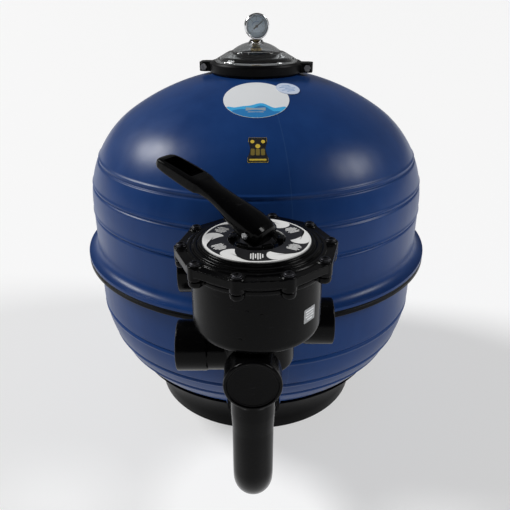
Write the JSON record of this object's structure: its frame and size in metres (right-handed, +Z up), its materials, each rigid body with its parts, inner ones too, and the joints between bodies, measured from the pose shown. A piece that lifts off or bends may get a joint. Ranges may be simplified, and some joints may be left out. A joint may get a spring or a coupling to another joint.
{
  "type": "pool sand filter tank",
  "caption": "Side-mount sand filter: round two-shell tank on a foot ring, clear clamped lid with pressure gauge, side multiport valve with lever and front loop pipe.",
  "frame": {"origin": "centre of the tank's foot at the floor, on the tank's vertical axis", "axes": "+Z up along the tank's axis; the valve stands on the -Y side; +X to the right when facing the valve"},
  "size_m": [0.6399, 0.8405, 0.721],
  "materials": {
    "tank_blue": "satin moulded",
    "satin_black": "satin moulded",
    "valve_black": "glossy moulded",
    "label_white": "printed vinyl",
    "label_yellow": "printed vinyl",
    "label_grey": "printed vinyl",
    "seal_rubber": "matt",
    "clear_plastic": "clear",
    "zinc_steel": "zinc plated",
    "gauge_steel": "bright",
    "brass": "turned",
    "dial_white": "printed",
    "needle_black": "matt",
    "white_plastic": "moulded",
    "rotor_grey": "moulded"
  },
  "bodies": {
    "tank": {"upper_shell": "tank_blue", "lower_shell": "tank_blue", "waist_band": "satin_black", "foot_ring": "satin_black", "neck_collar": "satin_black", "name_label": "label_white", "small_label": "label_white", "square_label": "label_yellow", "drain_spigot": "satin_black", "drain_seal": "seal_rubber", "drain_cap": "satin_black", "lid_oring": "seal_rubber", "diffuser_pipe": "white_plastic", "diffuser_head": "white_plastic", "collector_pipe": "white_plastic", "collector_hub": "white_plastic", "laterals": "white_plastic", "upper_bulkhead": "satin_black", "upper_gasket": "seal_rubber", "upper_locknut": "satin_black", "upper_union_nut": "satin_black", "upper_union_seal": "seal_rubber", "lower_bulkhead": "satin_black", "lower_gasket": "seal_rubber", "lower_locknut": "satin_black", "lower_union_nut": "satin_black", "lower_union_seal": "seal_rubber", "valve_body": "valve_black", "valve_cover": "valve_black", "cover_oring": "seal_rubber", "cover_screws": "zinc_steel", "cover_inserts": "brass", "indicator_plate": "white_plastic", "spider_gasket": "seal_rubber", "loop_pipe": "valve_black", "tee_plug": "valve_black", "body_sticker": "label_grey"},
    "front_clamp": {"clamp_front": "satin_black", "clamp_bolts": "zinc_steel"},
    "back_clamp": {"clamp_back": "satin_black", "clamp_nuts": "zinc_steel"},
    "lid": {"lid_dome": "clear_plastic", "gauge_bushing": "brass", "gauge_seal": "seal_rubber", "gauge_case": "gauge_steel", "gauge_bezel": "gauge_steel", "gauge_dial": "dial_white", "gauge_lens": "clear_plastic"},
    "needle": {"gauge_needle": "needle_black"},
    "selector": {"slip_washer": "white_plastic"},
    "rotor_stem": {"rotor": "rotor_grey", "shaft_seals": "seal_rubber", "handle_pin": "gauge_steel", "rotor_spring": "zinc_steel"},
    "lever": {"handle": "valve_black"}
  },
  "joints": [
    {"name": "clamp_front_slide", "type": "slide", "parent": "tank", "child": "front_clamp", "axis": [-0.1219, -0.9925, 0], "range_m": [0, 0.1]},
    {"name": "clamp_back_slide", "type": "slide", "parent": "tank", "child": "back_clamp", "axis": [0.1219, 0.9925, 0], "range_m": [0, 0.1]},
    {"name": "lid_lift", "type": "slide", "parent": "tank", "child": "lid", "axis": [0, 0, 1], "range_m": [0, 0.04]},
    {"name": "needle_turn", "type": "hinge", "parent": "lid", "child": "needle", "pos_m": [0, 0, 0.7], "axis": [0.2079, -0.9781, 0], "range_deg": [-83, 187], "stiffness_Nm_per_rad": 0.001},
    {"name": "selector_turn", "type": "hinge", "parent": "tank", "child": "selector", "pos_m": [0, -0.426, 0.49], "axis": [0, 0, 1], "continuous": true},
    {"name": "rotor_lift", "type": "slide", "parent": "selector", "child": "rotor_stem", "axis": [0, 0, 1], "range_m": [0, 0.0052], "stiffness_N_per_m": 600, "springref_m": -0.01, "deforming": ["rotor_spring"]},
    {"name": "handle_press", "type": "hinge", "parent": "rotor_stem", "child": "lever", "pos_m": [0, -0.426, 0.505], "axis": [-0.5736, -0.8191, 0], "range_deg": [0, 12]}
  ],
  "couplings": [
    {"joint": "clamp_back_slide", "follows": "clamp_front_slide", "ratio": 1},
    {"joint": "lid_lift", "follows": "clamp_front_slide", "ratio": 0.4},
    {"joint": "rotor_lift", "follows": "handle_press", "m_per_rad": 0.0238}
  ]
}
